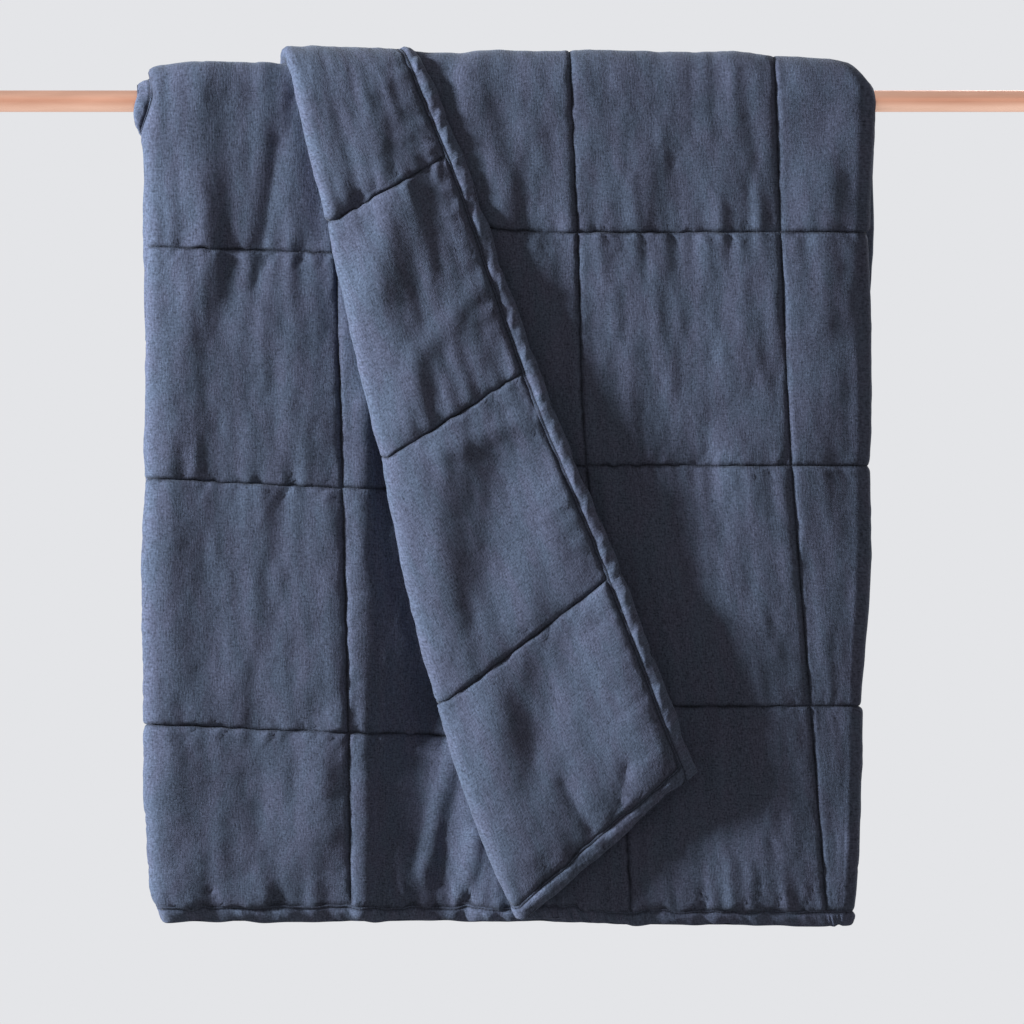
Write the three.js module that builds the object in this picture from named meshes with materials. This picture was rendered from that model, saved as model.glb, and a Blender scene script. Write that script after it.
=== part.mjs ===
// Linen throw blanket hung over a copper rod. The blanket is a bound quilt of seven columns and
// seven rows. It is folded in half lengthwise, with the fold at the right, and hung over the rod,
// and the free edge of its upper layer is turned back in a slanting flap.
// X runs along the rod, -Y is the front and Z is up. The origin is the rod's left end.
import * as THREE from 'three';

// Driving dimensions, in millimetres.
const ROD_RADIUS = 11.1;
const ROD_LENGTH = 1150;
const ROD_SIDES = 48;
const ROD_CLEARANCE = 2.5;
const SEAT_CLEARANCE = 0.5;

const LOFT = 12.4;
const SEAM_THICKNESS = 3.6;
const EDGE_THICKNESS = 3;
const LAYER_GAP = 2.2;
// Over the rod the under layer bunches up and the two outside it are pressed, by these changes
// in thickness. Seams there keep a share of the loft, and the fold at the right draws in.
const BUNCHED = { under: 9.5, upper: -3, flap: -7 };
const SEAM_SHARE = 0.45;
const CORNER_PULL = 20;
// A fold is filled by no more than this share of the room between its layers, and a cell's swell
// starts this far in from the binding.
const FOLD_FILL = 0.8;
const SWELL_INSET = 8;

const BINDING_WIDTH = 16;
const BINDING_WALL = 1.5;
const PIECE_GAP = 0.45;

const COLUMN_PITCH = 212;
const ROW_PITCH = 240;
const BEND = 113;
const ROLL_LENGTH = 26;
const ROLL_ANGLE = 1.3;
const ROLL_REACH = 170;
const EDGE_SETBACK = 22;
const FLAP_LIFT = 9;

const linen = { color: 0x4f5b70, roughness: 0.95, metalness: 0 };
const bindingLinen = { color: 0x566278, roughness: 0.95, metalness: 0 };
const copper = { color: 0xb9785c, roughness: 0.35, metalness: 1 };

// Across the rod every layer follows one path, measured by its drop: above zero down the front,
// zero to -BEND round the rod, and below that down the back. Each layer has its own distance
// from the rod's axis. One row of the table is one row seam, from the front hem to the back hem.
// under and upper are the seam's drop in the two layers, and tilt is the under seam's slope.
// left, one, two, three and right place the under layer: its rolled edge, three column seams
// and the fold. four, five and six are the upper layer's seams, and foldX, foldDrop, edgeX and
// edgeDrop are the two sides of the flap.
const seamRows = [
  { under: 842, upper: 845, tilt: 0.000, left: -371, one: -165, two: 15, three: 195, right: 353,
    four: 323, five: 123, six: 32, foldX: 0, foldDrop: 838, edgeX: 187, edgeDrop: 686 },
  { under: 640, upper: 621, tilt: 0.041, left: -377, one: -168, two: 26, three: 222, right: 360,
    four: 305, five: 108, six: -50, foldX: -80, foldDrop: 617, edgeX: 110, edgeDrop: 482 },
  { under: 388, upper: 375, tilt: 0.048, left: -376, one: -174, two: 33, three: 242, right: 369,
    four: 286, five: 76, six: -106, foldX: -138, foldDrop: 366, edgeX: 24, edgeDrop: 272 },
  { under: 150, upper: 136, tilt: 0.034, left: -375, one: -180, two: 35, three: 250, right: 367,
    four: 275, five: 67, six: -158, foldX: -192, foldDrop: 124, edgeX: -54, edgeDrop: 51 },
  { under: -125, upper: -87, tilt: 0.000, left: -376, one: -184, two: 31, three: 246, right: 373,
    four: 268, five: 58, six: -190, foldX: -240, foldDrop: -83, edgeX: -124, edgeDrop: -114 },
  { under: -365, upper: -322, tilt: 0.000, left: -377, one: -184, two: 30, three: 243, right: 371,
    four: 270, five: 60, six: -196, foldX: -270, foldDrop: -312, edgeX: -178, edgeDrop: -334 },
  { under: -605, upper: -562, tilt: 0.000, left: -375, one: -182, two: 32, three: 244, right: 368,
    four: 272, five: 62, six: -198, foldX: -298, foldDrop: -552, edgeX: -234, edgeDrop: -567 },
  { under: -820, upper: -784, tilt: 0.000, left: -376, one: -180, two: 34, three: 246, right: 370,
    four: 274, five: 64, six: -200, foldX: -322, foldDrop: -777, edgeX: -276, edgeDrop: -786 },
];

// Soft ridges that the hanging cloth takes on, each a line from one place to another, with its
// width across and its height off the flat layer.
const ridges = [
  { fromX: -50, fromDrop: 640, toX: -120, toDrop: 840, width: 42, height: 9 },
  { fromX: 60, fromDrop: 330, toX: 150, toDrop: 640, width: 60, height: 7 },
  { fromX: -300, fromDrop: 300, toX: -290, toDrop: 700, width: 90, height: 4 },
  { fromX: 250, fromDrop: -300, toX: 180, toDrop: -760, width: 80, height: 6 },
  { fromX: -60, fromDrop: -360, toX: -20, toDrop: -760, width: 70, height: 5 },
];

// Stations across the cloth, from the under layer's free edge to the flap's bound edge. column
// counts the quilting's columns, and divisions part the stretch that ends at the station.
const stations = [
  { name: 'freeEdge', column: 0, divisions: [] },
  { name: 'rolled', column: ROLL_LENGTH / COLUMN_PITCH, divisions: [BINDING_WIDTH / 2 / ROLL_LENGTH, BINDING_WIDTH / ROLL_LENGTH, 1] },
  { name: 'one', column: 1, divisions: [0.42, 0.92, 1] },
  { name: 'two', column: 2, divisions: [0.07, 0.5, 0.93, 1] },
  { name: 'three', column: 3, divisions: [0.07, 0.5, 0.93, 1] },
  { name: 'turnIn', column: 3.52, divisions: [0.14, 1] },
  { name: 'turnOut', column: 3.63, divisions: [0.25, 0.5, 0.75, 1] },
  { name: 'four', column: 4, divisions: [0.8, 1] },
  { name: 'five', column: 5, divisions: [0.07, 0.5, 0.93, 1] },
  { name: 'six', column: 6, divisions: [0.07, 0.5, 0.93, 1] },
  { name: 'foldIn', column: 6.1, divisions: [1] },
  { name: 'foldOut', column: 6.2, divisions: [0.25, 0.5, 0.75, 1] },
  { name: 'sewnLine', column: 7 - BINDING_WIDTH / COLUMN_PITCH, divisions: [0.3, 0.62, 0.9, 1] },
  { name: 'boundEdge', column: 7, divisions: [0.5, 1] },
];
const LAST_STATION = stations.length - 1;
const LAST_ROW = seamRows.length - 1;
const HEM_STEP = 0.02;

// Divisions of one row of quilting, with finer ones where the cloth bends over the rod. The
// division named sewn is the binding's stitch line, a fixed distance from the hem.
const plainRow = [0.07, 0.5, 0.93, 1];
const hemRow = ['sewn', 0.18, 0.55, 0.93, 1];
const rodRow = [0.07, 0.17, 0.27, 0.36, 0.45, 0.53, 0.6, 0.67, 0.74, 0.81, 0.88, 0.94, 1];
const behindRodRow = [0.07, 0.15, 0.25, 0.37, 0.5, 0.7, 0.93, 1];
const backHemRow = [0.07, 0.45, 0.82, 'sewn', 1];
const rowDivisions = [hemRow, plainRow, plainRow, rodRow, behindRodRow, plainRow, backHemRow];

const smooth = (low, high, value) => {
  const t = Math.min(Math.max((value - low) / (high - low), 0), 1);
  return t * t * (3 - 2 * t);
};
const mix = (a, b, t) => a + (b - a) * t;

// The value of a table column at any row position, on a smooth curve through the table's rows.
function atRow(column, row) {
  const start = Math.min(Math.max(Math.floor(row), 0), LAST_ROW - 1);
  const value = (index) => {
    if (index < 0) return 2 * seamRows[0][column] - seamRows[1][column];
    if (index > LAST_ROW) return 2 * seamRows[LAST_ROW][column] - seamRows[LAST_ROW - 1][column];
    return seamRows[index][column];
  };
  const [a, b, c, d] = [-1, 0, 1, 2].map((offset) => value(start + offset));
  const t = row - start;
  if (t < 0) return b + (c - b) * t;
  if (t > 1) return c + (c - b) * (t - 1);
  return b + 0.5 * t * (c - a + t * (2 * a - 5 * b + 4 * c - d + t * (3 * (b - c) + d - a)));
}

// How far round the rod a drop lies: 0 on the front and back, 1 at the rod's top.
function overRod(drop) {
  if (drop >= 0 || drop <= -BEND) return 0;
  return Math.sin((-drop / BEND) * Math.PI) ** 2;
}

// Each layer's full thickness, and its middle's distance from the rod's axis.
function layersAt(drop) {
  const top = overRod(drop);
  const inner = ROD_RADIUS + mix(ROD_CLEARANCE, SEAT_CLEARANCE, top);
  const [under, upper, flap] = [BUNCHED.under, BUNCHED.upper, BUNCHED.flap].map((change) => LOFT + change * top);
  return {
    under: { loft: under, distance: inner + under / 2 },
    upper: { loft: upper, distance: inner + under + LAYER_GAP + upper / 2 },
    flap: { loft: flap, distance: inner + under + upper + 2 * LAYER_GAP + flap / 2 },
  };
}

// The height of the soft ridges at a place on the front or back.
function drapeAt(x, drop) {
  let height = 0;
  for (const ridge of ridges) {
    const alongX = ridge.toX - ridge.fromX;
    const alongDrop = ridge.toDrop - ridge.fromDrop;
    const lengthSquared = alongX * alongX + alongDrop * alongDrop;
    const t = ((x - ridge.fromX) * alongX + (drop - ridge.fromDrop) * alongDrop) / lengthSquared;
    const nearest = Math.min(Math.max(t, 0), 1);
    const away = Math.hypot(x - ridge.fromX - nearest * alongX, drop - ridge.fromDrop - nearest * alongDrop);
    height += ridge.height * Math.exp(-((away / ridge.width) ** 2));
  }
  return height;
}

// A point in space from its place along the rod, its drop and its distance from the rod's axis.
function onPath({ x, drop, distance }) {
  const out = distance + drapeAt(x, drop);
  if (drop >= 0) return new THREE.Vector3(x, -out, -drop);
  if (drop <= -BEND) return new THREE.Vector3(x, out, drop + BEND);
  const angle = (-drop / BEND) * Math.PI;
  return new THREE.Vector3(x, -out * Math.cos(angle), out * Math.sin(angle));
}

// How far the under layer's free edge rolls in: fully down the front and back, and not at all
// beside the rod, where the edge stands out flat.
function rollAngle(drop) {
  const below = Math.max(drop, -drop - BEND);
  return ROLL_ANGLE * smooth(0, ROLL_REACH, below);
}

// A fold: half a turn from one layer to the next one out, to the right (side 1) or left (-1).
// Its inside keeps open, so the cloth is thinner there if the layers lie close.
function halfTurn(x, side, drop, inner, outer, t) {
  const angle = t * Math.PI;
  const radius = (outer.distance - inner.distance) / 2;
  const distance = (outer.distance + inner.distance) / 2 - radius * Math.cos(angle);
  const loft = Math.min(mix(inner.loft, outer.loft, t), FOLD_FILL * 2 * radius);
  return { x: x + side * radius * Math.sin(angle), drop, distance, loft };
}

// Where the middle of the cloth lies at a station position and a row position, and the cloth's
// full thickness there.
function locate(station, row) {
  const stretch = Math.min(Math.max(Math.floor(station), 0), LAST_STATION - 1);
  const t = station - stretch;
  const from = stations[stretch].name;
  const underDrop = (x) => atRow('under', row) + atRow('tilt', row) * (x - atRow('left', row));

  // The under layer, from its rolled edge to the fold at the right.
  const pull = overRod(underDrop(0));
  const rollStart = atRow('left', row) + EDGE_SETBACK - 2 * pull;
  if (from === 'freeEdge') {
    const drop = underDrop(rollStart);
    const { distance, loft } = layersAt(drop).under;
    const angle = Math.max(rollAngle(drop), 0.001);
    const turned = angle * (1 - t);
    const radius = ROLL_LENGTH / angle;
    const x = rollStart - radius * Math.sin(turned);
    return { x, drop, distance: distance - radius * (1 - Math.cos(turned)), loft };
  }
  const upperDrop = atRow('upper', row);
  const turnDrop = mix(underDrop(atRow('right', row)), upperDrop, 0.5);
  const turnLayers = layersAt(turnDrop);
  const turnRadius = (turnLayers.upper.distance - turnLayers.under.distance) / 2;
  const turnX = atRow('right', row) - CORNER_PULL * overRod(turnDrop) - turnRadius - turnLayers.upper.loft / 2;
  const underSeams = { rolled: ['', 'one'], one: ['one', 'two'], two: ['two', 'three'], three: ['three', ''] };
  if (from in underSeams) {
    const [low, high] = underSeams[from];
    const x = mix(low ? atRow(low, row) : rollStart, high ? atRow(high, row) : turnX, t);
    const drop = mix(underDrop(x), turnDrop, smooth(0.5, 1, from === 'three' ? t : 0));
    return { x, drop, ...layersAt(drop).under };
  }
  if (from === 'turnIn') return halfTurn(turnX, 1, turnDrop, turnLayers.under, turnLayers.upper, t);

  // The upper layer, from the fold at the right to the flap's fold.
  const foldDrop = atRow('foldDrop', row);
  const foldLayers = layersAt(foldDrop);
  const foldRadius = (foldLayers.flap.distance - foldLayers.upper.distance) / 2;
  const foldX = atRow('foldX', row) + foldRadius + foldLayers.flap.loft / 2;
  const upperPlaces = {
    turnOut: [turnX, atRow('four', row), turnDrop, upperDrop],
    four: [atRow('four', row), atRow('five', row), upperDrop, upperDrop],
    five: [atRow('five', row), atRow('six', row), upperDrop, foldDrop],
    six: [atRow('six', row), foldX, foldDrop, foldDrop],
  };
  if (from in upperPlaces) {
    const [fromX, toX, fromDrop, toDrop] = upperPlaces[from];
    const drop = mix(fromDrop, toDrop, smooth(0, 1, t));
    return { x: mix(fromX, toX, t), drop, ...layersAt(drop).upper };
  }
  if (from === 'foldIn') return halfTurn(foldX, -1, foldDrop, foldLayers.upper, foldLayers.flap, t);

  // The flap, whose bound edge stands a little off the layer below it.
  const flapWidth = Math.hypot(atRow('edgeX', row) - foldX, atRow('edgeDrop', row) - foldDrop);
  const sewn = 1 - BINDING_WIDTH / flapWidth;
  const out = from === 'foldOut' ? t * sewn : mix(sewn, 1, t);
  const drop = mix(foldDrop, atRow('edgeDrop', row), out);
  const lift = FLAP_LIFT * out * out * smooth(60, 260, drop);
  const { distance, loft } = layersAt(drop).flap;
  return { x: mix(foldX, atRow('edgeX', row), out), drop, distance: distance + lift, loft };
}

const place = (station, row) => onPath(locate(station, row));

// The cloth's outward direction, and its length along a column for one row, from close points.
function frameAt(station, row) {
  const step = 0.01;
  const acrossVector = place(station + step, row).sub(place(station - step, row));
  const alongVector = place(station, row + step).sub(place(station, row - step));
  return {
    along: alongVector.length() / (2 * step),
    outward: acrossVector.cross(alongVector).normalize(),
  };
}

// The swell of one quilted cell between its seams, from 0 on a seam to 1 at the middle. The
// outermost cells swell from the binding inwards.
function swell(position, count) {
  const bound = (BINDING_WIDTH + SWELL_INSET) / COLUMN_PITCH;
  const cell = Math.min(Math.max(Math.floor(position), 0), count - 1);
  const low = cell === 0 ? bound : cell;
  const high = cell === count - 1 ? count - bound : cell + 1;
  const t = Math.min(Math.max((position - low) / (high - low), 0), 1);
  return (1 - Math.abs(2 * t - 1) ** 3) ** 0.4;
}

function columnAt(station) {
  const stretch = Math.min(Math.floor(station), LAST_STATION - 1);
  return mix(stations[stretch].column, stations[stretch + 1].column, station - stretch);
}

// The quilt's thickness. Under the binding it is pressed flat.
function thicknessAt(station, row, edge) {
  if (edge) return EDGE_THICKNESS;
  const { drop, loft } = locate(station, row);
  const column = columnAt(station);
  const seam = SEAM_THICKNESS + SEAM_SHARE * (loft - SEAM_THICKNESS) * overRod(drop);
  return mix(seam, loft, swell(column, 7) * swell(row, LAST_ROW));
}

const stationLines = [0];
stations.slice(1).forEach(({ divisions }, index) => stationLines.push(...divisions.map((part) => index + part)));

// Each line along a row, as the row position that it has at a station.
const sewnFromHem = (hem, station) => {
  const inset = BINDING_WIDTH / frameAt(station, Math.abs(hem - HEM_STEP)).along;
  return Math.abs(hem - inset);
};
const rowLines = [() => 0];
rowDivisions.forEach((divisions, index) => divisions.forEach((part) => {
  const hem = index === 0 ? 0 : LAST_ROW;
  rowLines.push(part === 'sewn' ? (station) => sewnFromHem(hem, station) : () => index + part);
}));

function meshFrom(points, triangles, name, finish) {
  const geometry = new THREE.BufferGeometry();
  geometry.setAttribute('position', new THREE.Float32BufferAttribute(points.flatMap((p) => p.toArray()), 3));
  geometry.setIndex(triangles);
  geometry.computeVertexNormals();
  const mesh = new THREE.Mesh(geometry, new THREE.MeshStandardMaterial(finish));
  mesh.name = name;
  return mesh;
}

// The quilt: two skins half a thickness off the middle surface, joined round the rim.
function buildQuilt() {
  const face = [];
  const back = [];
  for (const [line, rowLine] of rowLines.entries()) {
    const atHem = line < 2 || line > rowLines.length - 3;
    for (const station of stationLines) {
      const row = rowLine(station);
      const atSide = station * ROLL_LENGTH <= BINDING_WIDTH + 0.1 || station >= LAST_STATION - 1;
      const half = thicknessAt(station, row, atHem || atSide) / 2;
      const { outward } = frameAt(station, row);
      const middle = place(station, row);
      face.push(middle.clone().addScaledVector(outward, half));
      back.push(middle.clone().addScaledVector(outward, -half));
    }
  }
  const wide = stationLines.length;
  const high = rowLines.length;
  const under = face.length;
  const triangles = [];
  const quad = (a, b, c, d) => triangles.push(a, b, c, a, c, d);
  for (let j = 0; j < high - 1; j += 1) {
    for (let i = 0; i < wide - 1; i += 1) {
      const corner = j * wide + i;
      quad(corner, corner + 1, corner + wide + 1, corner + wide);
      quad(under + corner, under + corner + wide, under + corner + wide + 1, under + corner + 1);
    }
  }
  const rim = (a, b) => quad(a, under + a, under + b, b);
  for (let i = 0; i < wide - 1; i += 1) {
    rim(i, i + 1);
    rim((high - 1) * wide + i + 1, (high - 1) * wide + i);
  }
  for (let j = 0; j < high - 1; j += 1) {
    rim((j + 1) * wide, j * wide);
    rim(j * wide + wide - 1, (j + 1) * wide + wide - 1);
  }
  return meshFrom([...face, ...back], triangles, 'quilt', linen);
}

// The binding's section is a channel over the quilt's edge, a wall on each face joined by a web.
// in is the distance in from the edge, and off is the distance from the middle of the cloth.
// A side binding's walls take a point halfway in, so that they can follow the rolled edge.
const wallInside = EDGE_THICKNESS / 2 + PIECE_GAP;
const wallOutside = wallInside + BINDING_WALL;
const channelCorners = [
  { in: BINDING_WIDTH, off: wallInside },
  { in: BINDING_WIDTH, off: wallOutside },
  { in: BINDING_WIDTH / 2, off: wallOutside, middle: true },
  { in: 0, off: wallOutside },
  { in: -PIECE_GAP - BINDING_WALL, off: 0 },
  { in: 0, off: -wallOutside },
  { in: BINDING_WIDTH / 2, off: -wallOutside, middle: true },
  { in: BINDING_WIDTH, off: -wallOutside },
  { in: BINDING_WIDTH, off: -wallInside },
  { in: BINDING_WIDTH / 2, off: -wallInside, middle: true },
  { in: -PIECE_GAP, off: -wallInside },
  { in: -PIECE_GAP, off: wallInside },
  { in: BINDING_WIDTH / 2, off: wallInside, middle: true },
];
const sideChannel = channelCorners;
const hemChannel = channelCorners.filter((corner) => !corner.middle);
// The corners of each section that make up the flat cap at the channel's end.
const sideCap = [
  [0, 1, 2], [0, 2, 12], [12, 2, 3], [12, 3, 11], [11, 3, 4],
  [11, 4, 10], [10, 4, 5], [10, 5, 9], [9, 5, 6], [9, 6, 8], [8, 6, 7],
];
const hemCap = [[0, 1, 2], [0, 2, 8], [8, 2, 3], [8, 3, 7], [7, 3, 4], [7, 4, 6], [6, 4, 5]];

// A binding over one edge. toPlace turns a distance along the edge's lines and a distance in
// from the edge into a station and a row. Its walls are split into triangles the same way as the
// quilt between them: inward says whether the quilt's split runs in from the edge as it goes
// along. turned says which way round the section goes.
function buildBinding(name, lines, toPlace, { channel, cap, inward, turned }) {
  const points = [];
  for (const line of lines) {
    for (const corner of channel) {
      const [station, row] = toPlace(line, corner.in);
      points.push(place(station, row).addScaledVector(frameAt(station, row).outward, corner.off));
    }
  }
  const count = channel.length;
  const triangles = [];
  for (let i = 0; i < lines.length - 1; i += 1) {
    for (let k = 0; k < count; k += 1) {
      const next = (k + 1) % count;
      const [a, b, c, d] = [i * count + k, i * count + next, (i + 1) * count + next, (i + 1) * count + k];
      const goesIn = channel[next].in >= channel[k].in;
      if (goesIn === inward) triangles.push(a, b, c, a, c, d);
      else triangles.push(a, b, d, b, c, d);
    }
  }
  const last = (lines.length - 1) * count;
  for (const [a, b, c] of cap) triangles.push(a, c, b, last + a, last + b, last + c);
  if (turned) {
    for (let i = 0; i < triangles.length; i += 3) {
      [triangles[i + 1], triangles[i + 2]] = [triangles[i + 2], triangles[i + 1]];
    }
  }
  return meshFrom(points, triangles, name, bindingLinen);
}

function buildBindings() {
  const overhang = (BINDING_WALL + PIECE_GAP) / ROW_PITCH;
  const hemInset = BINDING_WIDTH + PIECE_GAP;
  const side = { channel: sideChannel, cap: sideCap };
  const hem = { channel: hemChannel, cap: hemCap };

  // The side bindings run past both hems. Their lines are the quilt's, given by number.
  const sideLines = [-1, ...rowLines.keys(), rowLines.length];
  const sideRow = (line, station) => {
    if (line < 0) return -overhang;
    return line < rowLines.length ? rowLines[line](station) : LAST_ROW + overhang;
  };
  const sideEdge = (line, station) => [station, sideRow(line, station)];
  const leftEdge = (line, distance) => sideEdge(line, distance / ROLL_LENGTH);
  const flapEdge = (line, distance) => sideEdge(line, LAST_STATION - distance / BINDING_WIDTH);

  // The hem bindings run between the side bindings.
  const firstStation = hemInset / ROLL_LENGTH;
  const lastStation = LAST_STATION - hemInset / BINDING_WIDTH;
  const between = stationLines.filter((station) => station > firstStation && station < lastStation);
  const hemLines = [firstStation, ...between, lastStation];
  const hemRowAt = (hemRowIndex, station, distance) => {
    const { along } = frameAt(station, Math.abs(hemRowIndex - HEM_STEP));
    return Math.abs(hemRowIndex - distance / along) * Math.sign(hemRowIndex ? 1 : distance);
  };
  const frontHem = (station, distance) => [station, hemRowAt(0, station, distance)];
  const backHem = (station, distance) => [station, hemRowAt(LAST_ROW, station, distance)];
  return [
    buildBinding('side_binding_under', sideLines, leftEdge, { ...side, inward: true, turned: true }),
    buildBinding('side_binding_flap', sideLines, flapEdge, { ...side, inward: false, turned: false }),
    buildBinding('hem_binding_front', hemLines, frontHem, { ...hem, inward: true, turned: false }),
    buildBinding('hem_binding_back', hemLines, backHem, { ...hem, inward: false, turned: true }),
  ];
}

// The rod: a plain round bar with flat ends.
function buildRod() {
  const geometry = new THREE.CylinderGeometry(ROD_RADIUS, ROD_RADIUS, ROD_LENGTH, ROD_SIDES, 1);
  const rod = new THREE.Mesh(geometry, new THREE.MeshStandardMaterial(copper));
  rod.rotation.z = Math.PI / 2;
  rod.name = 'rod';
  return rod;
}

const throwOnRod = new THREE.Group();
throwOnRod.position.x = ROD_LENGTH / 2;
throwOnRod.add(buildQuilt(), ...buildBindings(), buildRod());

export default throwOnRod;
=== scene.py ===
import math

import bmesh
import bpy
import numpy as np
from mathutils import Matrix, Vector


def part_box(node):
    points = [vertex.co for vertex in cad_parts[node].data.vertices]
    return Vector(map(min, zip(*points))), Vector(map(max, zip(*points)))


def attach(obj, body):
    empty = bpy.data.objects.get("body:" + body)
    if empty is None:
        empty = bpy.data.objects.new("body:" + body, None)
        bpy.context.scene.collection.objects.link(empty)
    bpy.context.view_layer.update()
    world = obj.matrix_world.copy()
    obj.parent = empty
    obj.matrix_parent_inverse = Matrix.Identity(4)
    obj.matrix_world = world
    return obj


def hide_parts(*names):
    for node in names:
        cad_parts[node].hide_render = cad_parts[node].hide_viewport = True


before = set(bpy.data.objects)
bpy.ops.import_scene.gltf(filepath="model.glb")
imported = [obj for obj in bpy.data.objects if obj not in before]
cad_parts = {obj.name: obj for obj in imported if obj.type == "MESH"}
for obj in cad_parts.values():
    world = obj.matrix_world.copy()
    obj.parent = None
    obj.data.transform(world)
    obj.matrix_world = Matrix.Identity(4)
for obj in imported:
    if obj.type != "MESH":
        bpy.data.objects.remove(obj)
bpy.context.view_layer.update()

# The studio: a pale backdrop all round and a pale floor well below the hanging throw. One soft
# lamp far to the left, close to the cloth's plane, shows every crease, and two weaker ones fill
# the front and the back. The camera looks straight along +Y from far away with a long lens.
rod_low, rod_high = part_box("rod")
middle_x = (rod_low.x + rod_high.x) / 2
frame_width = 1.053
camera_distance = 8.0
camera_height = -0.4224


def add_object(name, data):
    made = bpy.data.objects.new(name, data)
    bpy.context.collection.objects.link(made)
    return made


camera_data = bpy.data.cameras.new("photo_camera")
camera_data.sensor_width = 36.0
camera_data.lens = camera_data.sensor_width * camera_distance / frame_width
camera_data.clip_end = 60.0
camera = add_object("photo_camera", camera_data)
camera.location = (middle_x, -camera_distance, camera_height)
camera.rotation_euler = (math.radians(90), 0, 0)
bpy.context.scene.camera = camera
bpy.context.scene.view_settings.view_transform = "Standard"

backdrop_colour = (0.776, 0.783, 0.807, 1)
room_colour, room_light = (1.0, 0.85, 0.77, 1), 0.25
mirrored_light = 1.4
mirrored_colours = ((0.76, 0.93, 1.0, 1), (0.51, 0.47, 0.44, 1), (0.51, 0.58, 0.61, 1))


def set_inputs(node, values):
    for name, value in values.items():
        node.inputs[name].default_value = value


def pale_room():
    """The camera sees the plain backdrop. The cloth takes little light from the room, and the
    copper mirrors its pale floor, its duller walls and its pale ceiling."""
    world = bpy.data.worlds.new("pale_room")
    world.use_nodes = True
    tree = world.node_tree
    seen = tree.nodes["Background"]
    seen.inputs["Color"].default_value = backdrop_colour
    path = tree.nodes.new("ShaderNodeLightPath")

    def wall(colour, strength):
        background = tree.nodes.new("ShaderNodeBackground")
        set_inputs(background, {"Color": colour, "Strength": strength})
        return background.outputs[0]

    def either(ray, no, yes):
        choice = tree.nodes.new("ShaderNodeMixShader")
        tree.links.new(path.outputs[ray], choice.inputs[0])
        tree.links.new(no, choice.inputs[1])
        tree.links.new(yes, choice.inputs[2])
        return choice.outputs[0]

    kinds = ("TexCoord", "SeparateXYZ", "MapRange", "ValToRGB")
    way, split, rising, colours = (tree.nodes.new("ShaderNode" + kind) for kind in kinds)
    tree.links.new(way.outputs["Generated"], split.inputs[0])
    tree.links.new(split.outputs["Z"], rising.inputs["Value"])
    rising.inputs["From Min"].default_value = -1.0
    tree.links.new(rising.outputs["Result"], colours.inputs[0])
    colours.color_ramp.elements.new(0.5)
    for stop, colour in zip(colours.color_ramp.elements, mirrored_colours):
        stop.color = colour
    mirrored = wall(room_colour, mirrored_light)
    tree.links.new(colours.outputs["Color"], mirrored.node.inputs["Color"])
    lighting = either("Is Glossy Ray", wall(room_colour, room_light), mirrored)
    tree.links.new(either("Is Camera Ray", lighting, seen.outputs[0]),
                   tree.nodes["World Output"].inputs["Surface"])
    bpy.context.scene.world = world


def soft_lamp(name, place, aim, size, power, colour):
    data = bpy.data.lights.new(name, "AREA")
    data.shape = "RECTANGLE"
    data.size, data.size_y = size
    data.energy = power
    data.color = colour
    lamp = add_object(name, data)
    lamp.location = place
    lamp.rotation_euler = (Vector(aim) - Vector(place)).to_track_quat("-Z", "Y").to_euler()


pale_room()
cloth_centre = (middle_x, 0, -0.42)
soft_lamp("window_lamp", (middle_x - 4.7, -1.1, 0.8), cloth_centre, (0.6, 0.6), 670, (0.985, 0.99, 1.0))
soft_lamp("front_fill", (middle_x + 0.8, -4.5, 1.2), cloth_centre, (2.4, 2.4), 4, (1.0, 0.92, 0.86))
soft_lamp("back_fill", (middle_x + 1.8, 3.2, 1.2), cloth_centre, (2.4, 2.4), 60, (0.95, 0.97, 1.0))

# The floor throws no light back on the cloth and doesn't show in the copper: the room does both.
floor_mesh = bpy.data.meshes.new("floor")
floor_reach, floor_height, floor_colour = 8.0, -1.6, (0.6, 0.6, 0.6, 1)
floor_corners = [(middle_x + x * floor_reach, y * floor_reach, floor_height)
                 for x, y in ((-1, -1), (1, -1), (1, 1), (-1, 1))]
floor_mesh.from_pydata(floor_corners, [], [(0, 1, 2, 3)])
floor = add_object("floor", floor_mesh)
floor_paint = bpy.data.materials.new("pale_floor")
floor_paint.use_nodes = True
floor_paint.node_tree.nodes["Principled BSDF"].inputs["Base Color"].default_value = floor_colour
floor.data.materials.append(floor_paint)
floor.visible_diffuse = floor.visible_glossy = False

# The quilt: one throw of linen face, filling and linen back, sewn through in a grid of seven
# columns and seven rows, folded in half lengthwise and hung over the rod. Its upper layer's free
# edge is turned back in a slanting flap. The two linens are made as two skins round the filling.
#
# Lengths are in millimetres. Every layer follows one path over the rod, measured by its drop:
# above zero down the front, zero to -BEND round the rod, and below that down the back.
# One entry of each column is one row seam, from the front hem to the back hem.
MM = 0.001
BEND = 113
seam_rows = {
    "under": [842, 640, 388, 150, -125, -365, -605, -820],
    "upper": [845, 621, 375, 136, -87, -322, -562, -784],
    "tilt": [0.0, 0.041, 0.048, 0.034, 0.0, 0.0, 0.0, 0.0],
    "left": [-371, -377, -376, -375, -376, -377, -375, -376],
    "one": [-165, -168, -174, -180, -184, -184, -182, -180],
    "two": [15, 26, 33, 35, 31, 30, 32, 34],
    "three": [195, 222, 242, 250, 246, 243, 244, 246],
    "right": [353, 360, 369, 367, 373, 371, 361, 350],
    "four": [323, 305, 286, 275, 268, 270, 272, 274],
    "five": [123, 108, 76, 67, 58, 60, 62, 64],
    "six": [32, -50, -106, -158, -190, -196, -198, -200],
    "fold_x": [0, -80, -138, -192, -240, -270, -298, -322],
    "fold_drop": [838, 617, 366, 124, -83, -312, -552, -777],
    "edge_x": [187, 110, 24, -54, -124, -178, -234, -276],
    "edge_drop": [686, 482, 272, 51, -114, -334, -567, -786],
}
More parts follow.
